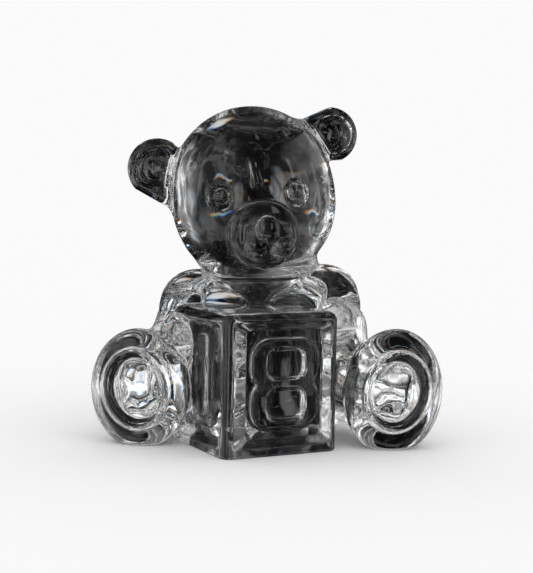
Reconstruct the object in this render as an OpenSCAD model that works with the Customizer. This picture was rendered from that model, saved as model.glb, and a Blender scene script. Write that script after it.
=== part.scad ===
// Seated teddy bear with a toy block, in solid clear crystal.
// Millimetres, +Z up. The bear faces -Y and sits on the plane z = 0, with the
// origin under the middle of its trunk. Left and right are the bear's own.

/* [Head] */
// Centre of the skull, sideways
head_x = -3.7; // [-6:0.1:0]
// Centre of the skull, front to back
head_y = -1; // [-4:0.5:2]
// Centre of the skull above the base
head_z = 64.2; // [62:0.2:68]
// Radius of the skull
skull_r = 21.2; // [19:0.2:22]
// Half width of the head across the cheeks
cheek_half_w = 20.6; // [19:0.2:22]
// Radius of the cheek roundings
cheek_r = 18; // [16:0.2:19]
// How far the cheeks lie below the skull's centre
cheek_drop = 6.8; // [5:0.2:10]
// Sideways tilt of the head, towards the bear's right shoulder
head_tilt = 10.5; // [0:0.5:15]
// Turn of the head, towards the bear's left
head_turn = 6; // [0:0.5:12]

/* [Ears] */
// Radius of the left ear
left_ear_r = 7.3; // [7:0.1:9]
// Radius of the right ear
right_ear_r = 7.9; // [7:0.1:9]
// Thickness of an ear
ear_t = 6.2; // [5:0.1:8]
// Centre of the left ear, from the skull's centre
left_ear_at = [22.9, 0.4, 10.3]; // [-25:0.1:25]
// Centre of the right ear, from the skull's centre
right_ear_at = [-23.5, 0.4, 8.9]; // [-25:0.1:25]
// Radius of the dish in an ear's front
ear_dish_r = 5.4; // [4:0.1:6]
// Depth of the dish
ear_dish_depth = 2.4; // [1:0.1:2.5]

/* [Face] */
// Radius of an eye
eye_r = 2.5; // [2:0.1:3]
// Half the distance between the eyes
eye_out = 9.9; // [8:0.1:11]
// How far the eyes lie below the skull's centre
eye_drop = 2.2; // [0:0.1:4]
// Radius of the muzzle's rim
muzzle_r = 9.6; // [8:0.1:10]
// Half width of the snout on the muzzle
muzzle_half_w = 6.8; // [6:0.1:8]
// How far the muzzle's middle lies below the skull's centre
muzzle_drop = 11.4; // [9:0.1:13]
// How far the muzzle stands out from the face
muzzle_out = 6.3; // [4:0.1:7]
// Radius of the nose
nose_r = 3; // [2.4:0.1:3.4]

/* [Trunk] */
// Half width of the trunk
trunk_r = 20; // [18:0.2:21]
// Height of the trunk's widest point
trunk_mid_z = 17; // [14:1:20]
// Height of the trunk's egg shape
trunk_top_z = 49; // [47:0.5:51]
// Radius of the neck
neck_r = 15.2; // [13:0.2:16]

/* [Arms] */
// Radius at the shoulder
shoulder_r = 11.1; // [9.5:0.1:11.5]
// Radius at the elbow
elbow_r = 8; // [7:0.1:9]
// Radius at the paw
paw_r = 6.8; // [6:0.1:8]
// Centre of the left shoulder
left_shoulder = [15.4, 1, 32.6]; // [-35:0.1:35]
// Centre of the left elbow
left_elbow = [18.4, -11, 27.4]; // [-35:0.1:35]
// Centre of the left paw
left_paw = [21.3, -20.5, 17]; // [-35:0.1:35]
// Centre of the right shoulder
right_shoulder = [-17.9, 1, 30.6]; // [-35:0.1:35]
// Centre of the right elbow
right_elbow = [-19.6, -12, 28.4]; // [-35:0.1:35]
// Centre of the right paw
right_paw = [-22.8, -21.3, 24]; // [-35:0.1:35]
// Radius of the lobe where an arm meets the chest
breast_r = 8.4; // [6:0.1:10]
// How far the lobes lie to either side of the trunk's axis
breast_out = 8.6; // [6:0.1:12]
// How far the lobes lie in front of the trunk's axis
breast_front = 12; // [8:0.5:16]
// Height of the lobes' centres
breast_z = 28.6; // [24:0.2:32]

/* [Legs] */
// Radius of a leg at the hip
hip_r = 12; // [10:0.2:13]
// Radius of a leg at the ankle
ankle_r = 8.8; // [8:0.1:11]
// Half the distance between the hips' centres
hip_out = 15; // [13:0.5:17]
// Half width of a foot
foot_half_w = 12.2; // [11:0.1:13]
// Half height of the left foot
left_foot_half_h = 15.7; // [13.5:0.1:16]
// Half height of the right foot
right_foot_half_h = 15; // [13.5:0.1:16]
// Length of a foot from heel to sole
foot_l = 11; // [8:0.5:14]
// Centre of the left foot
left_foot_at = [32.4, -24.5, 13.6]; // [-35:0.1:35]
// Centre of the right foot
right_foot_at = [-30.4, -24.5, 13.2]; // [-35:0.1:35]
// Outward turn of the left sole
left_foot_splay = 5; // [0:1:25]
// Outward turn of the right sole
right_foot_splay = 8; // [0:1:25]
// Upward tilt of the soles
foot_tilt = 8; // [0:1:15]
// Outward lean of the feet's tops
foot_lean = 8; // [0:1:15]
// Half width of the dished pad in a sole
pad_half_w = 6.6; // [6:0.1:8]
// Half height of the pad
pad_half_h = 8.4; // [7:0.1:9]
// Depth of the pad
pad_depth = 1.8; // [1:0.1:2.5]
// Outward lean of the pads within the soles
pad_lean = 7; // [0:1:15]

/* [Toy block] */
// Length of the block's sides
block_w = 31; // [28:0.2:32]
// Height of the block
block_h = 34.2; // [31:0.2:35]
// Centre of the block, sideways
block_x = -2.2; // [-4:0.2:0]
// How far the block's centre lies in front of the trunk's axis
block_front = 26; // [24:0.5:28]
// Turn of the block about the vertical, towards the bear's left
block_turn = 27.5; // [20:0.5:35]
// Rounding of the block's edges
block_edge_r = 2.6; // [1.5:0.1:3.5]
// Width of the frame round a panel
frame_w = 2.2; // [2:0.1:4]
// Width of the panel's bevel
bevel_w = 1.8; // [1:0.1:3]
// Width of the bevel beside the block's front edge
bevel_wide = 4.2; // [1:0.1:5]
// Depth of the panels
panel_depth = 2.2; // [1:0.1:2.5]

/* [Numerals] */
// Width of the numeral 8
eight_w = 18.4; // [14:0.2:20]
// Height of the numerals
numeral_h = 22; // [16:0.2:23]
// Width of the numerals' upright strokes
stroke_w = 4.3; // [3:0.1:4.5]
// Width of the numerals' level strokes
bar_w = 2.7; // [2:0.1:3.2]
// How far the numerals stand out of their panels
numeral_raise = 1.5; // [0.8:0.1:1.8]

/* [Hidden] */
$fn = 96;
HULL_FN = 32;
FOOT_FN = 48;
HEAD_FN = 240;
GLASS = [0.8, 0.87, 0.9, 0.5];
ARC_STEPS = 8;
BIG = 120;
RIM_SHARE = 0.36;
CORNER_SHARE = 0.42;
HOLE_CORNER_R = 2.2;
LEFT = 1;
RIGHT = -1;
LEFT_EDGE = -1;
RIGHT_EDGE = 1;

trunk_x = -1.8;
block_depth_below = 4;
hip_y = -2;
leg_z = 11.6;
ankle_in = 2;
ankle_back = 8;
elbow_slack = 0.15;
breast_slack = 1;
foot_edge_r = 4.6;
ear_splay = 8;
ear_web_slack = 1.6;
left_ear_web = [-7.9, 0, -0.4];
right_ear_web = [6.6, 0, -7.3];
ear_web_thin = 0.4;
ear_web_rim = 2;
eye_shift = -0.6;
eye_slant = 1;
eye_sunk = 0.6;
rim_x = -0.8;
rim_y = -15.8;
rim_t = 9.2;
rim_edge_r = 3;
rim_drop = 12.2;
bridge_r = 5.8;
bridge_up = 0.2;
lip_r = 4;
lip_drop = 3;
muzzle_x = -0.4;
nose_up = 0.7;
nose_proud = 1.3;
belly_y = 1.5;

head_at = [head_x, head_y, head_z];
lip_out = muzzle_half_w - lip_r;
muzzle_front = -sqrt(pow(skull_r, 2) - pow(muzzle_drop, 2)) - muzzle_out;
block_at = [block_x, -block_front, 0];
panel_w = block_w - 2 * frame_w;
panel_h = block_h - 2 * frame_w;
panel_z = block_h / 2;
face_y = block_w / 2;
eight_shift = (bevel_wide - bevel_w) / 2;

// ---- outlines -------------------------------------------------------------

// Points of an arc about c, from angle a0 to a1
function arc(c, r, a0, a1, steps = ARC_STEPS) =
    [for (i = [0:steps]) let (a = a0 + (a1 - a0) * i / steps) c + r * [cos(a), sin(a)]];

// Rectangle about the origin with round corners
function round_rect(w, h, r) = concat(
    arc([w / 2 - r, h / 2 - r], r, 0, 90),
    arc([r - w / 2, h / 2 - r], r, 90, 180),
    arc([r - w / 2, r - h / 2], r, 180, 270),
    arc([w / 2 - r, r - h / 2], r, 270, 360)
);

// Half section of a disc with a round rim, for turning about its axis
function disc_section(r, thick, rim) = concat(
    [[0, -thick / 2]],
    arc([r - rim, rim - thick / 2], rim, -90, 0),
    arc([r - rim, thick / 2 - rim], rim, 0, 90),
    [[0, thick / 2]]
);

// Half section of two balls of radius r1 and r2, a distance apart, and the cone that joins them
function cone_section(r1, r2, apart) = let (lean = asin((r1 - r2) / apart)) concat(
    arc([0, 0], r1, -90, lean, 2 * ARC_STEPS),
    arc([0, apart], r2, lean, 90, 2 * ARC_STEPS)
);

// Radius of the trunk at height z: an egg that flows into the neck
function egg_r(z) = trunk_r * sqrt(max(0, 1 - pow((z - trunk_mid_z) / (trunk_top_z - trunk_mid_z), 2)));
function trunk_outline(z) = pow(pow(egg_r(z), 8) + pow(neck_r, 8), 1 / 8);

// Point of the face at x and z in the head's own frame, moved inwards by sunk
function on_skull(x, z, sunk) =
    let (p = [x, -sqrt(skull_r * skull_r - x * x - z * z), z]) p * (1 - sunk / skull_r);

// ---- solids ---------------------------------------------------------------

// Two balls joined by a cone, from point a to point b
module round_cone(a, b, ra, rb) {
    d = b - a;
    apart = norm(d);
    translate(a) rotate([0, acos(d.z / apart), atan2(d.y, d.x)])
        rotate_extrude() polygon(cone_section(ra, rb, apart));
}

// Disc facing -Y, with its centre at the origin
module facing_disc(r, thick, rim) {
    rotate([90, 0, 0]) rotate_extrude() polygon(disc_section(r, thick, rim));
}

// Ball that leaves a dish of radius r and the given depth in a face at y
module dish(r, depth, y) {
    ball_r = (r * r + depth * depth) / (2 * depth);
    translate([0, y - ball_r + depth, 0]) sphere(ball_r);
}

module above_table() {
    intersection() {
        children();
        translate([-BIG / 2, -BIG / 2, 0]) cube(BIG);
    }
}

module in_head() {
    translate(head_at) rotate([0, -head_tilt, head_turn]) children();
}

module in_block() {
    translate(block_at) rotate([0, 0, block_turn]) children();
}

// Skull and cheeks: a ball over a fat ring, turned about the head's own axis
module head_form() {
    in_head() rotate_extrude($fn = HEAD_FN) intersection() {
        union() {
            circle(skull_r, $fn = HEAD_FN);
            translate([cheek_half_w - cheek_r, -cheek_drop]) circle(cheek_r, $fn = HEAD_FN);
            translate([0, -cheek_drop - cheek_r]) square([cheek_half_w - cheek_r, cheek_r]);
        }
        translate([0, -BIG / 2]) square(BIG);
    }
}

// Muzzle: a low round rim that carries a blunt snout with two lip lobes
module muzzle_form() {
    in_head() {
        translate([rim_x, rim_y, -rim_drop]) facing_disc(muzzle_r, rim_t, rim_edge_r);
        translate([muzzle_x, muzzle_front, -muzzle_drop]) hull() {
            translate([0, bridge_r, bridge_up]) sphere(bridge_r, $fn = HULL_FN);
            for (side = [LEFT, RIGHT])
                translate([side * lip_out, lip_r, -lip_drop]) sphere(lip_r, $fn = HULL_FN);
        }
    }
}

module trunk_form() {
    translate([trunk_x, belly_y, 0]) rotate_extrude() polygon(concat(
        [[0, 0]],
        [for (z = [0:2:trunk_top_z]) [trunk_outline(z), z]],
        [[0, trunk_top_z]]
    ));
}

module arm_form(side) {
    shoulder = side == LEFT ? left_shoulder : right_shoulder;
    elbow = side == LEFT ? left_elbow : right_elbow;
    paw = side == LEFT ? left_paw : right_paw;
    round_cone(shoulder, elbow, shoulder_r, elbow_r);
    round_cone(elbow, paw, elbow_r - elbow_slack, paw_r);
    breast = [trunk_x + side * breast_out, -breast_front, breast_z];
    round_cone(shoulder, breast, shoulder_r - breast_slack, breast_r);
}

module in_foot(side) {
    splay = side == LEFT ? left_foot_splay : right_foot_splay;
    translate(side == LEFT ? left_foot_at : right_foot_at)
        rotate([0, 0, side * splay]) rotate([-foot_tilt, 0, 0]) rotate([0, side * foot_lean, 0]) children();
}

module foot_form(side) {
    stretch = (side == LEFT ? left_foot_half_h : right_foot_half_h) - foot_half_w;
    in_foot(side) hull()
        for (up = [-stretch, stretch])
            translate([0, 0, up]) facing_disc(foot_half_w, foot_l, foot_edge_r, $fn = FOOT_FN);
}

// Two dishes that overlap in an upright oval
module pad_cut(side) {
    stretch = pad_half_h - pad_half_w;
    in_foot(side) rotate([0, side * pad_lean, 0])
        for (up = [-stretch, stretch])
            translate([0, 0, up]) dish(pad_half_w, pad_depth, -foot_l / 2);
}

module leg_form(side) {
    foot_at = side == LEFT ? left_foot_at : right_foot_at;
    round_cone(
        [trunk_x + side * hip_out, hip_y, leg_z],
        [foot_at.x - side * ankle_in, foot_at.y + ankle_back, leg_z],
        hip_r, ankle_r
    );
}

// Cube with round edges that stands on the table; its upright edges run on below and are cut off
module block_form() {
    reach = block_w / 2 - block_edge_r;
    above_table() in_block() hull()
        for (x = [-reach, reach], y = [-reach, reach], z = [-block_depth_below, block_h - block_edge_r])
            translate([x, y, z]) sphere(block_edge_r, $fn = HULL_FN);
}

// Sunken panel in the block's -Y face, whose bevel is wide on the side that wide points to
module panel_cut(wide) {
    shift = wide * (bevel_w - bevel_wide) / 2;
    floor_w = panel_w - bevel_w - bevel_wide;
    floor_h = panel_h - 2 * bevel_w;
    translate([0, -face_y, panel_z]) rotate([90, 0, 0]) hull() {
        linear_extrude(1) polygon(round_rect(panel_w, panel_h, block_edge_r));
        translate([shift, 0, -panel_depth]) linear_extrude(0.01)
            polygon(round_rect(floor_w, floor_h, block_edge_r / 2));
    }
}

// Puts a numeral drawn in the XY plane on a panel's floor
module on_panel() {
    translate([0, panel_depth - face_y, panel_z]) rotate([90, 0, 0])
        linear_extrude(numeral_raise) children();
}

module numeral_eight() {
    lobe_h = (numeral_h + bar_w) / 2;
    lobe_up = (numeral_h - lobe_h) / 2;
    hole_w = eight_w - 2 * stroke_w;
    hole_h = lobe_h - 2 * bar_w;
    difference() {
        for (up = [-lobe_up, lobe_up])
            translate([0, up]) polygon(round_rect(eight_w, lobe_h, lobe_h * CORNER_SHARE));
        for (up = [-lobe_up, lobe_up])
            translate([0, up]) polygon(round_rect(hole_w, hole_h, HOLE_CORNER_R));
    }
}

module numeral_one() {
    top = numeral_h / 2;
    half = stroke_w / 2;
    polygon([
        [-stroke_w, -top], [stroke_w, -top], [stroke_w, bar_w - top], [half, bar_w - top],
        [half, top], [0, top], [-stroke_w * 1.2, top - stroke_w], [-stroke_w * 1.2, top - stroke_w - bar_w],
        [-half, top - stroke_w], [-half, bar_w - top], [-stroke_w, bar_w - top],
    ]);
}

// ---- sub-parts ------------------------------------------------------------

module head() {
    color(GLASS) head_form();
}

module ear(side) {
    r = side == LEFT ? left_ear_r : right_ear_r;
    web = side == LEFT ? left_ear_web : right_ear_web;
    color(GLASS) difference() {
        in_head() translate(side == LEFT ? left_ear_at : right_ear_at) rotate([0, 0, side * ear_splay])
            difference() {
                union() {
                    facing_disc(r, ear_t, ear_t * RIM_SHARE);
                    for (share = [0.5, 1])
                        translate(web * share)
                            facing_disc(r - share * ear_web_slack, ear_t - share * ear_web_thin, ear_web_rim);
                }
                dish(ear_dish_r, ear_dish_depth, -ear_t / 2);
            }
        head_form();
    }
}

module eye(side) {
    color(GLASS) difference() {
        in_head() translate(on_skull(eye_shift + side * eye_out, -eye_drop - side * eye_slant, eye_sunk))
            rotate([90, 0, 0]) sphere(eye_r);
        head_form();
    }
}

module muzzle() {
    color(GLASS) difference() {
        muzzle_form();
        head_form();
    }
}

module nose() {
    color(GLASS) difference() {
        in_head() translate([muzzle_x, muzzle_front - nose_proud + nose_r, nose_up - muzzle_drop])
            sphere(nose_r);
        muzzle_form();
    }
}

module torso() {
    color(GLASS) difference() {
        trunk_form();
        head_form();
        block_form();
    }
}

module arm(side) {
    color(GLASS) difference() {
        arm_form(side);
        head_form();
        trunk_form();
        leg_form(side);
        foot_form(side);
        block_form();
    }
}

module leg(side) {
    color(GLASS) above_table() difference() {
        leg_form(side);
        trunk_form();
        foot_form(side);
        block_form();
    }
}

module foot(side) {
    color(GLASS) above_table() difference() {
        foot_form(side);
        pad_cut(side);
        block_form();
    }
}

module toy_block() {
    color(GLASS) difference() {
        block_form();
        in_block() panel_cut(LEFT_EDGE);
        in_block() rotate([0, 0, -90]) panel_cut(RIGHT_EDGE);
    }
}

module front_numeral() {
    color(GLASS) in_block() on_panel() translate([eight_shift, 0]) numeral_eight();
}

module side_numeral() {
    color(GLASS) in_block() rotate([0, 0, -90]) on_panel() numeral_one();
}

head();
ear(LEFT);  // left_ear
ear(RIGHT);  // right_ear
eye(LEFT);  // left_eye
eye(RIGHT);  // right_eye
muzzle();
nose();
torso();
arm(LEFT);  // left_arm
arm(RIGHT);  // right_arm
leg(LEFT);  // left_leg
leg(RIGHT);  // right_leg
foot(LEFT);  // left_foot
foot(RIGHT);  // right_foot
toy_block();
front_numeral();
side_numeral();
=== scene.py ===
"""Seated teddy bear with a toy block, cast in one piece of clear lead crystal.

The figurine is sculpted as one smooth distance field and then cut into its named sub-parts,
so that the forms melt into each other as they do in fire-polished glass. Sizes are in
millimetres until the meshes are made. The bear faces -Y; left and right are the bear's own.
"""

from math import cos, radians, sin

import bpy
import numpy as np
from mathutils import Euler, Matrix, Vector


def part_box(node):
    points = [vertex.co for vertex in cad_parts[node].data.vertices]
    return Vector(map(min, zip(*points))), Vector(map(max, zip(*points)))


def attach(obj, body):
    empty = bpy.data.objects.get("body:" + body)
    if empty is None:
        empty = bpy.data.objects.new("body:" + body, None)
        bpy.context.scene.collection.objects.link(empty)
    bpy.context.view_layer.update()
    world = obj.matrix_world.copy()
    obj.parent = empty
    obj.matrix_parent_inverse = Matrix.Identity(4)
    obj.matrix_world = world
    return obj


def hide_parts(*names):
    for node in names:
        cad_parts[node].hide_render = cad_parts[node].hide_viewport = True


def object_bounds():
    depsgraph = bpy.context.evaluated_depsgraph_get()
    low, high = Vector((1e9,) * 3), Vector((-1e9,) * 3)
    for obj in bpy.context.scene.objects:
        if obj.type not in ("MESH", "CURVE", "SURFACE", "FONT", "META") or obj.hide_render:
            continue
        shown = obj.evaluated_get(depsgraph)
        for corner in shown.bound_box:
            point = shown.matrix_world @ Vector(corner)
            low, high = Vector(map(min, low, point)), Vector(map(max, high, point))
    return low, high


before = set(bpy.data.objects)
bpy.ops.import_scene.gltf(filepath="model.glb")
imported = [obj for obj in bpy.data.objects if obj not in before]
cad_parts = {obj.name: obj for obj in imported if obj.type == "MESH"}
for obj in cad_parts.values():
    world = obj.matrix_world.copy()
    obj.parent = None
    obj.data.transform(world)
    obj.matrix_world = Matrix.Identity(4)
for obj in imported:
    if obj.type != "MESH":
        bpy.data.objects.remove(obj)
CAD_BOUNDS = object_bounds()

MM = 0.001
# The grid that the fields are sampled on: its pitch, its margin round the CAD box, and how many
# layers are worked out at a time.
GRID = 0.42
MARGIN = 1.5
SLAB = 24
# How often points are pulled onto the joins and onto the skin.
JOIN_PASSES, SKIN_PASSES = 2, 3
LEFT, RIGHT = 1, -1
FOOT_NAME = {LEFT: "left_foot", RIGHT: "right_foot"}

# ---- sizes, in millimetres and degrees ------------------------------------------------------

# The head's places are from the middle of the skull, along the tilted head's axes. Those of the
# muzzle, snout, lips and nose are from the middle of their CAD boxes, and the others are the
# part's own. Each _MELT is how far one form flows into the next, and each _EDGE how far the edge
# of a cut is rounded.

HEAD_TILT, HEAD_TURN = -10.5, 6.0
SKULL_R, SKULL_DEPTH = 21.3, 20.4
SKULL_SHIFT_X, SKULL_BELOW_TOP = -0.6, 0.4
CHEEK, CHEEK_AT = (20.5, 19.0, 18.0), (0, -0.5, -6.9)
CHEEK_MELT = 6.0
BROW_TOP, BROW_FOOT = (-0.6, -19.2, 6.2), (-0.4, -20.0, 1.0)
BROW_TOP_R, BROW_FOOT_R, BROW_MELT = 0.7, 1.0, 1.4

EAR_R = {LEFT: 7.3, RIGHT: 7.9}
EAR_HALF_T, EAR_RIM = 3.1, 2.7
EAR_OUT = {LEFT: 22.9, RIGHT: 23.5}
EAR_UP = {LEFT: 10.3, RIGHT: 8.9}
EAR_ROOT = {LEFT: (-7.9, 0.0, -0.4), RIGHT: (6.6, 0.0, -7.3)}
EAR_ROOT_SLIMMER = 1.6
EAR_BACK, EAR_SPLAY = 0.4, 8.0
EAR_DISH_R, EAR_DISH_DEPTH, EAR_DISH_EDGE = 5.4, 2.6, 0.3

EYE_R, EYE_IN = 2.1, 1.6
SOCKET_R, SOCKET_OUT, SOCKET_EDGE = 4.2, 1.4, 0.3

MUZZLE_AT = (-0.3, 2.7, 1.4)
MUZZLE_HALF_W, MUZZLE_HALF_H, MUZZLE_HALF_T = 9.3, 9.2, 8.0
MUZZLE_RIM, MUZZLE_TAPER, MUZZLE_FACE_R = 2.6, 0.12, 45
SNOUT, SNOUT_AT, SNOUT_MELT = (6.7, 4.6, 5.7), (0.8, -2.6, 2.1), 1.0
LIP_R, LIP_OUT, LIP_MELT = 3.5, 2.9, 0.7
LIP_X, LIP_Y, LIP_Z = 0.8, -3.6, -1.1
NOSE, NOSE_AT = (2.9, 1.8, 3.2), (0.2, -1.5, -0.1)

TRUNK, TRUNK_Z = (20.0, 18.8, 30.0), 18.0
NECK, NECK_Y, NECK_Z, NECK_MELT = (15.8, 14.6, 5.5), 0.5, 44.2, 4.5

SHOULDER_R, ELBOW_R, PAW_R = 11.1, 8.0, 6.8
SHOULDER = {LEFT: (15.4, 1.0, 32.6), RIGHT: (-17.9, 1.0, 30.6)}
ELBOW = {LEFT: (18.4, -11.0, 27.4), RIGHT: (-19.6, -12.0, 28.4)}
PAW = {LEFT: (21.3, -20.5, 17.0), RIGHT: (-22.8, -21.3, 24.0)}
BREAST_OUT, BREAST_Y, BREAST_Z = 8.6, -12.0, 28.6
BREAST_R, BREAST_ROOT_R, BREAST_MELT = 8.6, 10.1, 1.2
ELBOW_MELT = 2.0

HIP_OUT, HIP_Y, HIP_Z, HIP_R = 15.0, -2.0, 12.2, 12.0
ANKLE_IN, ANKLE_BACK, ANKLE_Z, ANKLE_R = 1.0, 8.0, 12.8, 8.8

FOOT_OUT = {LEFT: 32.4, RIGHT: 30.4}
FOOT_Z = {LEFT: 13.6, RIGHT: 13.2}
FOOT_SPLAY = {LEFT: 5.0, RIGHT: 8.0}
FOOT_TILT, FOOT_LEAN = 8.0, 8.0
SOLE_HALF_H = {LEFT: 15.7, RIGHT: 15.0}
SOLE_HALF_W, SOLE_HALF_T, SOLE_RIM = 12.2, 5.5, 4.6
CROWN, CROWN_BACK, CROWN_MELT = (9.8, 8.0, 11.4), 2.0, 1.5
PAD_HALF_W, PAD_HALF_H, PAD_LEAN = 6.6, 8.4, 7.0
PAD_DEPTH, PAD_CORNER, PAD_EDGE, PAD_WAVE = 0.9, 1.2, 1.3, 0.3
# The raised lip round the pad: how far outside it, half its width and height, and its rounding.
LIP_RING_OUT, LIP_RING_HALF_W, LIP_RING_HALF_H = 0.9, 0.7, 0.35
LIP_RING_ROUND, LIP_RING_MELT = 0.3, 0.9

BLOCK_TURN, BLOCK_EDGE_R = 27.5, 2.6
FRAME_W, BEVEL, BEVEL_WIDE = 2.2, 1.8, 4.2
PANEL_DEPTH, PANEL_CORNER, PANEL_EDGE = 2.2, 1.6, 0.7
NUMERAL_H, NUMERAL_RAISE, NUMERAL_EDGE = 22.0, 1.5, 0.9
EIGHT_W, EIGHT_X, STROKE_W, BAR_W = 18.4, 1.2, 4.3, 2.7
EIGHT_ROUND, EIGHT_HOLE_R, EIGHT_WAIST, EIGHT_HOLE_EDGE = 0.42, 2.2, 1.0, 0.5
ONE_STEM_R, ONE_BASE_R, ONE_MELT = 1.0, 0.9, 0.8
FLAG_X, FLAG_DROP, FLAG_HALF_L, FLAG_R = 2.4, 3.2, 3.0, 1.0

BASE_EDGE = 0.9
POLISH = 0.016


def cad_box(node):
    """Lowest and highest corner of a CAD node, in millimetres."""
    low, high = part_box(node)
    return np.array(low) / MM, np.array(high) / MM


def cad_middle(node):
    low, high = cad_box(node)
    return (low + high) / 2


# ---- distance fields ------------------------------------------------------------------------


def turn(axis, degrees):
    """Matrix of a turn about a named axis."""
    c, s = cos(radians(degrees)), sin(radians(degrees))
    i, j = {"x": (1, 2), "y": (2, 0), "z": (0, 1)}[axis]
    m = np.eye(3)
    m[i, i] = m[j, j] = c
    m[i, j], m[j, i] = -s, s
    return m


def local(p, centre, axes):
    """Coordinates of p in a frame at centre, whose axes are the matrix's columns."""
    x, y, z = (p[i] - centre[i] for i in range(3))
    if axes is None:
        return x, y, z
    return tuple(axes[0, i] * x + axes[1, i] * y + axes[2, i] * z for i in range(3))


def smooth_union(a, b, k):
    h = np.maximum(k - np.abs(a - b), 0) / k
    return np.minimum(a, b) - h * h * h * k / 6


def smooth_cut(a, b, k):
    """a without b, with an edge rounded over k."""
    return -smooth_union(-a, b, k)


def ellipse(u, v, ru, rv):
    k0 = np.sqrt((u / ru) ** 2 + (v / rv) ** 2)
    k1 = np.sqrt((u / ru**2) ** 2 + (v / rv**2) ** 2)
    return k0 * (k0 - 1) / np.maximum(k1, 1e-6)


def ellipsoid(p, centre, radii, axes=None):
    x, y, z = local(p, centre, axes)
    a, b, c = radii
    k0 = np.sqrt((x / a) ** 2 + (y / b) ** 2 + (z / c) ** 2)
    k1 = np.sqrt((x / a**2) ** 2 + (y / b**2) ** 2 + (z / c**2) ** 2)
    return k0 * (k0 - 1) / np.maximum(k1, 1e-6)


def ball(p, centre, r):
    x, y, z = local(p, centre, None)
    return np.sqrt(x * x + y * y + z * z) - r


def round_cone(p, a, b, ra, rb):
    """Two balls and the cone that joins them."""
    a, b = np.asarray(a, float), np.asarray(b, float)
    along = b - a
    span2 = along @ along
    dr = ra - rb
    x, y, z = local(p, a, None)
    t = x * along[0] + y * along[1] + z * along[2]
    across2 = np.maximum((x * x + y * y + z * z) - t * t / span2, 0)
    lean = dr / np.sqrt(span2)
    shift = np.sqrt(across2) * lean / np.sqrt(1 - lean * lean) * np.sqrt(span2)
    s = np.clip((t + shift) / span2, 0, 1)
    px, py, pz = x - s * along[0], y - s * along[1], z - s * along[2]
    return np.sqrt(px * px + py * py + pz * pz) - (ra - s * dr)


def rounded(a, b, r):
    """Overlap of two fields, with their shared edge rounded to radius r."""
    a, b = a + r, b + r
    return np.minimum(np.maximum(a, b), 0) + np.hypot(np.maximum(a, 0), np.maximum(b, 0)) - r


def round_rect(u, v, half_u, half_v, r):
    qu, qv = np.abs(u) - half_u + r, np.abs(v) - half_v + r
    return np.minimum(np.maximum(qu, qv), 0) + np.hypot(np.maximum(qu, 0), np.maximum(qv, 0)) - r


# ---- the bear's forms -----------------------------------------------------------------------

HEAD_AXES = turn("z", HEAD_TURN) @ turn("y", HEAD_TILT)
HEAD_LOW, HEAD_HIGH = cad_box("head")
SKULL_AT = np.array([
    (HEAD_LOW[0] + HEAD_HIGH[0]) / 2 + SKULL_SHIFT_X,
    (HEAD_LOW[1] + HEAD_HIGH[1]) / 2,
    HEAD_HIGH[2] - SKULL_R - SKULL_BELOW_TOP,
])
TRUNK_LOW, TRUNK_HIGH = cad_box("torso")
TRUNK_X = (TRUNK_LOW[0] + TRUNK_HIGH[0]) / 2
TRUNK_Y = TRUNK_HIGH[1] - TRUNK[1]
BLOCK_LOW, BLOCK_HIGH = cad_box("toy_block")
BLOCK_AT = (BLOCK_LOW + BLOCK_HIGH) / 2
BLOCK_TOP = BLOCK_HIGH[2]
BLOCK_AXES = turn("z", BLOCK_TURN)
BLOCK_HALF = (
    (BLOCK_HIGH[0] - BLOCK_LOW[0] - 2 * BLOCK_EDGE_R)
    / (cos(radians(BLOCK_TURN)) + sin(radians(BLOCK_TURN)))
    / 2
    + BLOCK_EDGE_R
)


def in_head(x, y, z):
    return SKULL_AT + HEAD_AXES @ np.array([x, y, z])


def head(p):
    skull = ellipsoid(p, SKULL_AT, (SKULL_R, SKULL_DEPTH, SKULL_R), HEAD_AXES)
    cheeks = ellipsoid(p, in_head(*CHEEK_AT), CHEEK, HEAD_AXES)
    whole = smooth_union(skull, cheeks, CHEEK_MELT)
    brow = round_cone(p, in_head(*BROW_TOP), in_head(*BROW_FOOT), BROW_TOP_R, BROW_FOOT_R)
    whole = smooth_union(whole, brow, BROW_MELT)
    for name in ("left_eye", "right_eye"):
        middle = cad_middle(name)
        outward = (middle - SKULL_AT) / np.linalg.norm(middle - SKULL_AT)
        socket = ball(p, middle + outward * SOCKET_OUT, SOCKET_R)
        whole = smooth_cut(whole, socket, SOCKET_EDGE)
    return whole


def ear(p, side):
    axes = HEAD_AXES @ turn("z", side * EAR_SPLAY)
    centre = in_head(side * EAR_OUT[side], EAR_BACK, EAR_UP[side])
    r = EAR_R[side]
    x, y, z = local(p, centre, axes)
    outline = round_cone((x, 0 * x, z), (0, 0, 0), EAR_ROOT[side], r, r - EAR_ROOT_SLIMMER)
    flat = rounded(outline, np.abs(y) - EAR_HALF_T, EAR_RIM)
    dish_r = (EAR_DISH_R**2 + EAR_DISH_DEPTH**2) / (2 * EAR_DISH_DEPTH)
    dish = ball(p, centre - axes[:, 1] * (EAR_HALF_T + dish_r - EAR_DISH_DEPTH), dish_r)
    return smooth_cut(flat, dish, EAR_DISH_EDGE)


def eye(p, name):
    middle = cad_middle(name)
    inward = (SKULL_AT - middle) / np.linalg.norm(SKULL_AT - middle)
    return ball(p, middle + inward * EYE_IN, EYE_R)


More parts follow.
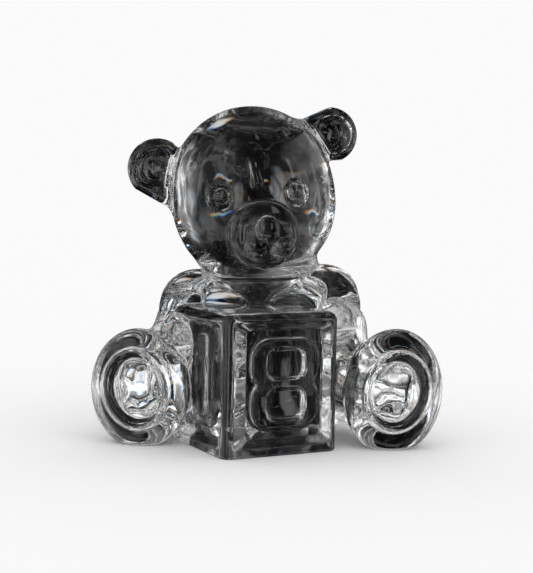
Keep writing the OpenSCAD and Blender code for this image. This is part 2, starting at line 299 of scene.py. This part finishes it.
def muzzle(p):
    middle = cad_middle("muzzle")
    axes = turn("z", HEAD_TURN)
    x, y, z = local(p, middle + axes @ np.array(MUZZLE_AT), axes)
    bulge = (x * x + z * z) / (2 * MUZZLE_FACE_R)
    outline = ellipse(x, z, MUZZLE_HALF_W, MUZZLE_HALF_H) - MUZZLE_TAPER * np.minimum(y, 0)
    whole = rounded(outline, np.abs(y - bulge) - MUZZLE_HALF_T, MUZZLE_RIM)
    snout = ellipsoid(p, middle + axes @ np.array(SNOUT_AT), SNOUT, axes)
    whole = smooth_union(whole, snout, SNOUT_MELT)
    for side in (LEFT, RIGHT):
        lip = ball(p, middle + axes @ np.array([LIP_X + side * LIP_OUT, LIP_Y, LIP_Z]), LIP_R)
        whole = smooth_union(whole, lip, LIP_MELT)
    return whole


def nose(p):
    middle = cad_middle("nose")
    return ellipsoid(p, middle + np.array(NOSE_AT), NOSE, turn("z", HEAD_TURN))


def torso(p):
    trunk = ellipsoid(p, (TRUNK_X, TRUNK_Y, TRUNK_Z), TRUNK)
    neck = ellipsoid(p, (TRUNK_X, NECK_Y, NECK_Z), NECK)
    return smooth_union(trunk, neck, NECK_MELT)


def arm(p, side):
    upper = round_cone(p, SHOULDER[side], ELBOW[side], SHOULDER_R, ELBOW_R)
    breast_at = (TRUNK_X + side * BREAST_OUT, BREAST_Y, BREAST_Z)
    breast = round_cone(p, SHOULDER[side], breast_at, BREAST_ROOT_R, BREAST_R)
    upper = smooth_union(upper, breast, BREAST_MELT)
    lower = round_cone(p, ELBOW[side], PAW[side], ELBOW_R, PAW_R)
    return smooth_union(upper, lower, ELBOW_MELT)


def sole_frame(side):
    """Middle of a foot's sole and the matrix of its axes; -y looks out of the sole."""
    axes = turn("z", side * FOOT_SPLAY[side]) @ turn("x", -FOOT_TILT) @ turn("y", side * FOOT_LEAN)
    middle = cad_middle(FOOT_NAME[side])
    middle[0] = side * FOOT_OUT[side]
    middle[2] = FOOT_Z[side]
    return middle, axes


def leg(p, side):
    sole, axes = sole_frame(side)
    hip = np.array([TRUNK_X + side * HIP_OUT, HIP_Y, HIP_Z])
    ankle = sole + axes @ np.array([-side * ANKLE_IN, ANKLE_BACK, 0])
    ankle[2] = ANKLE_Z
    return round_cone(p, hip, ankle, HIP_R, ANKLE_R)


def foot(p, side):
    middle, axes = sole_frame(side)
    x, y, z = local(p, middle, axes)
    outline = ellipse(x, z, SOLE_HALF_W, SOLE_HALF_H[side])
    disc = rounded(outline, np.abs(y) - SOLE_HALF_T, SOLE_RIM)
    crown = ellipsoid(p, middle + axes @ np.array([0, CROWN_BACK, 0]), CROWN, axes)
    body = smooth_union(disc, crown, CROWN_MELT)
    c, s = cos(radians(PAD_LEAN)), side * sin(radians(PAD_LEAN))
    oval = ellipse(c * x - s * z, s * x + c * z, PAD_HALF_W, PAD_HALF_H)
    wave = PAD_WAVE * np.sin(x / 1.5 + z / 2.6) * np.sin(z / 2.0 - x / 3.0)
    pad = rounded(oval, y + SOLE_HALF_T - PAD_DEPTH + wave, PAD_CORNER)
    lip = rounded(
        np.abs(oval - LIP_RING_OUT) - LIP_RING_HALF_W,
        np.abs(y + SOLE_HALF_T) - LIP_RING_HALF_H,
        LIP_RING_ROUND,
    )
    body = smooth_union(body, lip, LIP_RING_MELT)
    return smooth_cut(body, pad, PAD_EDGE)


def in_block(p):
    return local(p, (BLOCK_AT[0], BLOCK_AT[1], 0), BLOCK_AXES)


def panel(u, out, z):
    """Sunken panel in a face of the block: u runs across it and out points out of it."""
    depth = np.maximum(-out, 0)
    half_w = BLOCK_HALF - FRAME_W
    v, half_h = z - BLOCK_TOP / 2, BLOCK_TOP / 2 - FRAME_W
    sides = ((-u, half_w, BEVEL_WIDE), (u, half_w, BEVEL), (v, half_h, BEVEL), (-v, half_h, BEVEL))
    inset = None
    for reach, half, bevel in sides:
        slope = bevel / PANEL_DEPTH
        plane = (reach - half + depth * slope) / np.hypot(1, slope)
        inset = plane if inset is None else smooth_cut(inset, -plane, PANEL_CORNER)
    return np.maximum(inset, -out - PANEL_DEPTH)


def toy_block(p):
    x, y, z = in_block(p)
    sides = round_rect(x, y, BLOCK_HALF, BLOCK_HALF, BLOCK_EDGE_R)
    cube = rounded(sides, z - BLOCK_TOP, BLOCK_EDGE_R)
    cube = smooth_cut(cube, panel(x, -y - BLOCK_HALF, z), PANEL_EDGE)
    return smooth_cut(cube, panel(y, -x - BLOCK_HALF, z), PANEL_EDGE)


def raised(outline, out):
    """A numeral's stroke, standing on its panel with rounded edges."""
    level = np.abs(out + PANEL_DEPTH) - NUMERAL_RAISE
    return rounded(outline, level, NUMERAL_EDGE)


def front_numeral(p):
    """An 8 made of two rounded rings."""
    x, y, z = in_block(p)
    lobe_h = (NUMERAL_H + BAR_W) / 2
    outline = None
    hole = None
    for up in (-1, 1):
        u = x - EIGHT_X
        v = z - BLOCK_TOP / 2 - up * (NUMERAL_H - lobe_h) / 2
        lobe = round_rect(u, v, EIGHT_W / 2, lobe_h / 2, lobe_h * EIGHT_ROUND)
        gap = round_rect(u, v, EIGHT_W / 2 - STROKE_W, lobe_h / 2 - BAR_W, EIGHT_HOLE_R)
        outline = lobe if outline is None else smooth_union(outline, lobe, EIGHT_WAIST)
        hole = gap if hole is None else np.minimum(hole, gap)
    return raised(smooth_cut(outline, hole, EIGHT_HOLE_EDGE), -y - BLOCK_HALF)


def side_numeral(p):
    """A 1 with a foot and a flag at 45 degrees."""
    x, y, z = in_block(p)
    v = z - BLOCK_TOP / 2
    stem = round_rect(y, v, STROKE_W / 2, NUMERAL_H / 2, ONE_STEM_R)
    base = round_rect(y, v + (NUMERAL_H - BAR_W) / 2, STROKE_W, BAR_W / 2, ONE_BASE_R)
    flag_y, flag_z = y - FLAG_X, v - NUMERAL_H / 2 + FLAG_DROP
    half_turn = cos(radians(45))
    along, across = (flag_z - flag_y) * half_turn, (flag_z + flag_y) * half_turn
    flag = round_rect(along, across, FLAG_HALF_L, BAR_W / 2, FLAG_R)
    outline = smooth_union(smooth_union(stem, base, ONE_MELT), flag, ONE_MELT)
    return raised(outline, -x - BLOCK_HALF)


# Every sub-part, with its own field and how far it melts into what came before it.
PARTS = [
    ("torso", torso, 0),
    ("left_arm", lambda p: arm(p, LEFT), 1.6),
    ("right_arm", lambda p: arm(p, RIGHT), 1.6),
    ("left_leg", lambda p: leg(p, LEFT), 2.6),
    ("right_leg", lambda p: leg(p, RIGHT), 2.6),
    ("left_foot", lambda p: foot(p, LEFT), 1.6),
    ("right_foot", lambda p: foot(p, RIGHT), 1.6),
    ("head", head, 3.0),
    ("left_ear", lambda p: ear(p, LEFT), 2.4),
    ("right_ear", lambda p: ear(p, RIGHT), 2.4),
    ("muzzle", muzzle, 0.3),
    ("nose", nose, 0.7),
    ("left_eye", lambda p: eye(p, "left_eye"), 0.2),
    ("right_eye", lambda p: eye(p, "right_eye"), 0.2),
    ("toy_block", toy_block, 1.2),
    ("front_numeral", front_numeral, 0.6),
    ("side_numeral", side_numeral, 0.6),
]
NAMES = [name for name, _, _ in PARTS]


def polish(p):
    """The slow, shallow unevenness that fire polishing leaves on pressed glass."""
    x, y, z = p
    wave = np.sin(x / 1.9 + 1.3 * np.sin(z / 3.1)) * np.sin(z / 2.3 + y / 2.9)
    return POLISH * (wave + np.sin(y / 1.7 + x / 3.7) * np.sin(z / 1.5 - x / 2.6))


def own_fields(p):
    return [field(p) for _, field, _ in PARTS]


def melt(fields, p):
    """The whole figurine: every form melted together, and ground flat underneath."""
    whole = fields[0]
    for field, (_, _, k) in zip(fields[1:], PARTS[1:]):
        whole = smooth_union(whole, field, k)
    whole = whole + polish(p)
    return smooth_cut(whole, p[2] + 0 * whole, BASE_EDGE)


# ---- from fields to meshes ------------------------------------------------------------------


def at_points(points, measure):
    """Measures fields at an (n, 3) array of points."""
    return measure(tuple(points[:, i] for i in range(3)))


def slope_of(points, measure, step=0.04):
    columns = []
    for axis in range(3):
        shift = np.zeros(3)
        shift[axis] = step
        ahead = at_points(points + shift, measure)
        columns.append((ahead - at_points(points - shift, measure)) / (2 * step))
    return np.stack(columns, 1)


def surface(p):
    return melt(own_fields(p), p)


def pull_to(points, measure, limit):
    """Moves points onto a field's zero level, by no more than limit."""
    value = at_points(points, measure)
    slope = slope_of(points, measure)
    move = -value[:, None] * slope / np.maximum((slope**2).sum(1), 0.05)[:, None]
    length = np.linalg.norm(move, axis=1)
    return points + move * np.minimum(1, limit / np.maximum(length, 1e-9))[:, None]


def label_grid():
    """Which sub-part, from 1, holds each grid point; 0 is outside."""
    low = np.array(CAD_BOUNDS[0]) / MM - MARGIN
    high = np.array(CAD_BOUNDS[1]) / MM + MARGIN
    counts = np.ceil((high - low) / GRID).astype(int) + 1
    axes = [(low[i] + GRID * np.arange(counts[i])).astype(np.float32) for i in range(3)]
    labels = np.zeros(counts, np.uint8)
    value = np.zeros(counts, np.float32)
    for start in range(0, counts[2], SLAB):
        part = slice(start, start + SLAB)
        p = (axes[0][:, None, None], axes[1][None, :, None], axes[2][None, None, part])
        fields = own_fields(p)
        whole = melt(fields, p)
        owner = np.zeros(whole.shape, np.uint8)
        least = fields[0] + 0 * whole
        for i, field in enumerate(fields[1:], 1):
            nearer = field < least
            owner[nearer] = i
            least = np.where(nearer, field, least)
        labels[:, :, part] = np.where(whole < 0, owner + 1, 0)
        value[:, :, part] = whole
    return low, labels, value


def corners(grid):
    n = [slice(None, -1), slice(1, None)]
    return [grid[n[i], n[j], n[k]] for i in (0, 1) for j in (0, 1) for k in (0, 1)]


def cell_points(low, value, cells, is_skin):
    """A point in each cell: the mean of where the skin crosses its edges, or its middle."""
    base = np.stack(cells, 1).astype(float)
    points = base + 0.5
    total = np.zeros((len(base), 3))
    hits = np.zeros(len(base))
    steps = np.eye(3, dtype=int)
    index = np.stack(cells, 1)
    for axis in range(3):
        for a in (0, 1):
            for b in (0, 1):
                start = index + a * steps[(axis + 1) % 3] + b * steps[(axis + 2) % 3]
                end = start + steps[axis]
                v0 = value[start[:, 0], start[:, 1], start[:, 2]]
                v1 = value[end[:, 0], end[:, 1], end[:, 2]]
                cross = (v0 < 0) != (v1 < 0)
                t = np.where(cross, v0 / np.where(cross, v0 - v1, 1), 0)
                total += cross[:, None] * (start + t[:, None] * steps[axis])
                hits += cross
    points[is_skin] = total[is_skin] / hits[is_skin, None]
    return low + points * GRID


def sculpt():
    """Returns the points that all pieces share, the skin's normals there, and for each piece its
    four-sided faces and which of them are joins."""
    low, labels, value = label_grid()
    eight = corners(labels)
    lowest = np.minimum.reduce(eight)
    highest = np.maximum.reduce(eight)
    cells = np.nonzero(lowest != highest)
    number = np.full(lowest.shape, -1, np.int32)
    number[cells] = np.arange(len(cells[0]))
    around = np.stack([c[cells] for c in eight], 1)
    is_skin = around.min(1) == 0
    first = np.where(around > 0, around, 255).min(1)
    last = around.max(1)
    points = cell_points(low, value, cells, is_skin)
    mixed = first != last

    def between(chosen):
        """Field that is zero where the two sub-parts that share a cell are equally near."""
        rows = np.arange(len(chosen))

        def measure(p):
            fields = np.stack(own_fields(p), 1)
            return fields[rows, first[chosen] - 1] - fields[rows, last[chosen] - 1]

        return measure

    inner = np.nonzero(mixed)[0]
    for _ in range(JOIN_PASSES):
        points[inner] = pull_to(points[inner], between(inner), GRID / 2)
    skin = np.nonzero(is_skin)[0]
    for _ in range(SKIN_PASSES):
        points[skin] = pull_to(points[skin], surface, GRID / 2)
    normals = np.zeros_like(points)
    normals[skin] = slope_of(points[skin], surface)
    normals[skin] /= np.linalg.norm(normals[skin], axis=1)[:, None]

    faces = {i: [] for i in range(1, len(PARTS) + 1)}
    joins = {i: [] for i in faces}
    for axis in range(3):
        a = np.moveaxis(labels, axis, 0)[:-1, 1:-1, 1:-1]
        b = np.moveaxis(labels, axis, 0)[1:, 1:-1, 1:-1]
        n = np.moveaxis(number, axis, 0)
        ring = [n[:, :-1, :-1], n[:, 1:, :-1], n[:, 1:, 1:], n[:, :-1, 1:]]
        if axis == 1:
            ring = ring[::-1]
        split = a != b
        quads = np.stack([r[split] for r in ring], 1)
        behind, ahead = a[split], b[split]
        for i in faces:
            for owner, other, shown in ((behind, ahead, quads), (ahead, behind, quads[:, ::-1])):
                mine = owner == i
                faces[i].append(shown[mine])
                joins[i].append(other[mine] > 0)
    return points, normals, {
        NAMES[i - 1]: (np.concatenate(faces[i]), np.concatenate(joins[i])) for i in faces
    }


def piece(name, points, normals, faces, is_join, materials):
    """One closed sub-part: polished skin, with see-through joins where it meets the others."""
    used, compact = np.unique(faces, return_inverse=True)
    compact = compact.reshape(faces.shape)
    mesh = bpy.data.meshes.new(name)
    mesh.from_pydata(points[used] * MM, [], compact.tolist())
    for material in materials:
        mesh.materials.append(material)
    mesh.polygons.foreach_set("material_index", is_join.astype(np.int32))
    mesh.polygons.foreach_set("use_smooth", np.ones(len(faces), bool))
    mesh.update()
    flat = np.zeros(len(faces) * 3, np.float32)
    mesh.polygons.foreach_get("normal", flat)
    corner_normals = np.where(
        np.repeat(is_join, 4)[:, None],
        np.repeat(flat.reshape(-1, 3), 4, axis=0),
        normals[faces.reshape(-1)],
    )
    mesh.normals_split_custom_set(corner_normals.tolist())
    obj = bpy.data.objects.new(name + "_crystal", mesh)
    bpy.context.scene.collection.objects.link(obj)
    return obj


# ---- materials ------------------------------------------------------------------------------


def nodes_of(name):
    material = bpy.data.materials.new(name)
    material.use_nodes = True
    material.node_tree.nodes.clear()
    return material, material.node_tree.nodes, material.node_tree.links


LEAD_CRYSTAL_IOR = 1.545
# The ground underside ends this high, and bumps are this deep, in metres.
GROUND_UP_TO = 0.0009
RIPPLE, GRAIN = 0.00001, 0.00001
SCUFF_ROUGH, MARK_ROUGH = 0.3, 0.02


class Graph:
    """Adds nodes to a node tree, each from its operation and its inputs."""

    def __init__(self, tree):
        self.nodes, self.links = tree.nodes, tree.links

    def join(self, node, values):
        for socket, value in zip(node.inputs, values):
            if isinstance(value, bpy.types.NodeSocket):
                self.links.new(value, socket)
            else:
                socket.default_value = value

    def math(self, operation, *values):
        node = self.nodes.new("ShaderNodeMath")
        node.operation = operation
        self.join(node, values)
        return node.outputs[0]

    def dot(self, vector, fixed):
        node = self.nodes.new("ShaderNodeVectorMath")
        node.operation = "DOT_PRODUCT"
        self.join(node, (vector, tuple(fixed)))
        return node.outputs["Value"]

    def noise(self, vector, scale, detail, distortion=0.0, output="Fac"):
        node = self.nodes.new("ShaderNodeTexNoise")
        node.inputs["Scale"].default_value = scale
        node.inputs["Detail"].default_value = detail
        node.inputs["Distortion"].default_value = distortion
        self.links.new(vector, node.inputs["Vector"])
        return node.outputs[output]

    def fade(self, value, start, end):
        """1 up to start, falling smoothly to 0 at end."""
        node = self.nodes.new("ShaderNodeMapRange")
        node.interpolation_type = "SMOOTHSTEP"
        self.join(node, (value, start, end, 1.0, 0.0))
        return node.outputs[0]


def crystal():
    """Fire-polished lead crystal: a faint ripple, fine handling marks and a ground underside."""
    material, nodes, links = nodes_of("crystal")
    graph = Graph(material.node_tree)
    where = nodes.new("ShaderNodeTexCoord").outputs["Object"]
    ground = graph.fade(graph.dot(where, (0, 0, 1)), 0.3 * GROUND_UP_TO, GROUND_UP_TO)
    ripple = graph.noise(where, 310.0, 2.0)
    grain = graph.noise(where, 9000.0, 3.0)
    marks = graph.fade(graph.noise(where, 700.0, 4.0), 0.70, 0.62)
    scuffs = graph.fade(graph.noise(where, 420.0, 3.0), 0.66, 0.54)
    scuffed = graph.math("MULTIPLY", scuffs, graph.math("MULTIPLY", grain, SCUFF_ROUGH))
    rough = graph.math("MULTIPLY", ground, scuffed)
    rough = graph.math("MULTIPLY_ADD", marks, MARK_ROUGH, rough)
    relief = graph.math("MULTIPLY", ripple, RIPPLE)
    relief = graph.math("MULTIPLY_ADD", graph.math("MULTIPLY", ground, grain), GRAIN, relief)
    bump = nodes.new("ShaderNodeBump")
    bump.inputs["Distance"].default_value = 1.0
    links.new(relief, bump.inputs["Height"])
    glass = nodes.new("ShaderNodeBsdfPrincipled")
    glass.inputs["Base Color"].default_value = (1, 1, 1, 1)
    glass.inputs["IOR"].default_value = LEAD_CRYSTAL_IOR
    glass.inputs["Transmission Weight"].default_value = 1.0
    links.new(rough, glass.inputs["Roughness"])
    links.new(bump.outputs["Normal"], glass.inputs["Normal"])
    out = nodes.new("ShaderNodeOutputMaterial")
    links.new(glass.outputs[0], out.inputs["Surface"])
    return material


def clear_join():
    """Where two sub-parts of the casting meet there is no surface, so light passes."""
    material, nodes, links = nodes_of("crystal_join")
    out = nodes.new("ShaderNodeOutputMaterial")
    clear = nodes.new("ShaderNodeBsdfTransparent")
    links.new(clear.outputs[0], out.inputs["Surface"])
    return material


# ---- studio ---------------------------------------------------------------------------------

# Place in metres, angles in degrees, focal length in millimetres.
CAMERA_AT = (0.0, -0.3458, 0.0632)
CAMERA_PITCH, CAMERA_ROLL, CAMERA_LENS = 4.26, -1.1, 81.7


def camera():
    data = bpy.data.cameras.new("camera")
    data.lens = CAMERA_LENS
    data.clip_start = 0.01
    obj = bpy.data.objects.new("camera", data)
    obj.location = CAMERA_AT
    obj.rotation_euler = Euler((radians(90 - CAMERA_PITCH), radians(CAMERA_ROLL), 0), "XYZ")
    bpy.context.scene.collection.objects.link(obj)
    bpy.context.scene.camera = obj


def direction(azimuth, elevation):
    """Unit vector; azimuth 0 is behind the bear (+Y) and 90 is towards +X."""
    a, e = radians(azimuth), radians(elevation)
    return Vector((sin(a) * cos(e), cos(a) * cos(e), sin(e)))


def softbox(graph, ray, azimuth, elevation, wide, high, edge):
    """How much of a softbox a ray sees; its size and soft edge are in degrees."""
    middle = direction(azimuth, elevation)
    across = middle.cross(Vector((0, 0, 1))).normalized()
    ahead = graph.dot(ray, middle)
    safe = graph.math("MAXIMUM", ahead, 0.001)
    seen = graph.math("GREATER_THAN", ahead, 0.0)
    for axis, size in ((across, wide), (across.cross(middle), high)):
        offset = graph.math("ABSOLUTE", graph.math("DIVIDE", graph.dot(ray, axis), safe))
        half, soft = np.tan(radians(size / 2)), np.tan(radians(edge / 2))
        seen = graph.math("MULTIPLY", seen, graph.fade(offset, half - soft, half + soft))
    return seen


# Azimuth and elevation of the middle, width, height and soft edge in degrees, level and tint.
SOFTBOXES = [
    (79, 6, 5, 44, 3, 0.8, (0.97, 0.99, 1.05)),
    (118, 24, 4, 30, 3, 1.6, (1.0, 0.99, 0.96)),
    (161, 13, 5, 3, 1.5, 5.0, (0.97, 1.0, 1.04)),
    (-138, 15, 24, 3, 1.5, 5.0, (1.0, 1.0, 1.0)),
    (143, 12, 13, 32, 7, 1.5, (0.97, 1.0, 1.03)),
    (-163, -2, 10, 24, 5, 1.5, (1.03, 1.0, 0.96)),
    (-146, 6, 3, 18, 2, 2.4, (1.03, 1.0, 0.95)),
    (-104, 16, 6, 38, 3, 0.8, (1.0, 1.0, 1.0)),
    (-72, 12, 4, 46, 2, 1.0, (0.97, 1.0, 1.04)),
    (0, 84, 40, 40, 12, 0.15, (1.0, 1.0, 1.0)),
    (104, -26, 40, 12, 4, 0.8, (1.0, 0.99, 0.96)),
    (-104, -26, 40, 12, 4, 0.5, (1.0, 1.0, 1.0)),
    (180, -48, 60, 16, 10, 0.8, (1.0, 1.0, 1.0)),
    (35, -47, 14, 12, 5, 0.7, (1.0, 1.0, 1.0)),
]
# The round tents at the sides: azimuth and elevation of the middle, width that is fully lit,
# width at which it has faded out, and level.
TENTS = [(76, 4, 44, 88, 1.2), (-116, 4, 84, 134, 1.2)]
# Levels of the room in front, the backdrop and its shaded foot, and the haze; how much darker a
# tent's creases are; how far all of it is warped; and the spread of colours in degrees.
ROOM, BACKDROP, SHADE, SMOKE = 0.02, 0.003, 0.001, 0.08
CREASE, WARP, SPREAD = 0.78, 0.16, 0.5
# Level of the pale surround that the camera and the floor see.
PALE = 0.96
BOUNCES, CLEAR_BOUNCES = 14, 128
# Half the floor's width, in metres.
FLOOR_HALF = 2


def studio():
    """A dark room with softboxes for the glass, and a pale surround for everything else.

    Crystal spreads light into colours, so each colour sees the softboxes slightly shifted."""
    scene = bpy.context.scene
    scene.view_settings.view_transform = "Standard"
    scene.cycles.max_bounces = BOUNCES
    scene.cycles.glossy_bounces = BOUNCES
    scene.cycles.transmission_bounces = BOUNCES
    scene.cycles.transparent_max_bounces = CLEAR_BOUNCES
    world = bpy.data.worlds.new("studio")
    scene.world = world
    world.use_nodes = True
    world.cycles.sampling_method = "NONE"
    graph = Graph(world.node_tree)
    ray = graph.nodes.new("ShaderNodeTexCoord").outputs["Generated"]
    wander = graph.noise(ray, 3.2, 3.0, output="Color")
    warp = graph.nodes.new("ShaderNodeVectorMath")
    warp.operation = "MULTIPLY_ADD"
    graph.join(warp, (wander, (2 * WARP,) * 3, (-WARP,) * 3))
    warped = graph.nodes.new("ShaderNodeVectorMath")
    graph.join(warped, (ray, warp.outputs[0]))
    ray = warped.outputs[0]
    smoke = graph.noise(ray, 3.0, 4.0, 1.2)
    haze = graph.math("MULTIPLY", graph.fade(smoke, 0.71, 0.58), SMOKE)
    behind = graph.fade(graph.dot(ray, (0, -1, 0)), -0.3, 0.5)
    below = graph.fade(graph.dot(ray, (0, 0, 1)), -0.35, 0.15)
    cloth = graph.math("MULTIPLY_ADD", below, BACKDROP - SHADE, SHADE)
    room = graph.math("MULTIPLY_ADD", behind, graph.math("SUBTRACT", cloth, ROOM), ROOM)
    room = graph.math("ADD", room, haze)
    creases = graph.math("MULTIPLY_ADD", graph.fade(smoke, 0.42, 0.62), -CREASE, 1.0)
    for azimuth, elevation, full, faded, level in TENTS:
        towards = graph.dot(ray, direction(azimuth, elevation))
        inside = graph.fade(towards, cos(radians(full / 2)), cos(radians(faded / 2)))
        tent = graph.math("MULTIPLY", graph.math("MULTIPLY", inside, creases), level)
        room = graph.math("ADD", room, tent)
    colour = graph.nodes.new("ShaderNodeCombineColor")
    for channel, shift in enumerate((-SPREAD, 0, SPREAD)):
        total = room
        for azimuth, elevation, wide, high, edge, level, tint in SOFTBOXES:
            seen = softbox(graph, ray, azimuth + shift, elevation + shift, wide, high, edge)
            total = graph.math("MULTIPLY_ADD", seen, level * tint[channel], total)
        graph.links.new(total, colour.inputs[channel])
    path = graph.nodes.new("ShaderNodeLightPath")
    plain = graph.math("MAXIMUM", path.outputs["Is Camera Ray"], path.outputs["Is Diffuse Ray"])
    mix = graph.nodes.new("ShaderNodeMix")
    mix.data_type = "RGBA"
    mix.inputs["B"].default_value = (PALE, PALE, PALE, 1)
    graph.links.new(plain, mix.inputs["Factor"])
    graph.links.new(colour.outputs[0], mix.inputs["A"])
    graph.links.new(mix.outputs["Result"], graph.nodes["Background"].inputs["Color"])


def floor():
    mesh = bpy.data.meshes.new("floor")
    h = FLOOR_HALF
    mesh.from_pydata([(-h, -h, 0), (h, -h, 0), (h, h, 0), (-h, h, 0)], [], [(0, 1, 2, 3)])
    material, nodes, links = nodes_of("floor")
    out = nodes.new("ShaderNodeOutputMaterial")
    matt = nodes.new("ShaderNodeBsdfPrincipled")
    matt.inputs["Base Color"].default_value = (1, 1, 1, 1)
    matt.inputs["Roughness"].default_value = 1.0
    matt.inputs["Specular IOR Level"].default_value = 0.0
    links.new(matt.outputs[0], out.inputs["Surface"])
    mesh.materials.append(material)
    obj = bpy.data.objects.new("floor", mesh)
    obj.visible_glossy = obj.visible_transmission = False
    bpy.context.scene.collection.objects.link(obj)


# ---- making ---------------------------------------------------------------------------------

camera()
studio()
floor()

points, normals, shapes = sculpt()
finish = [crystal(), clear_join()]
for name, (faces, is_join) in shapes.items():
    obj = piece(name, points, normals, faces, is_join, finish)
    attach(obj, "root")
    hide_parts(name)
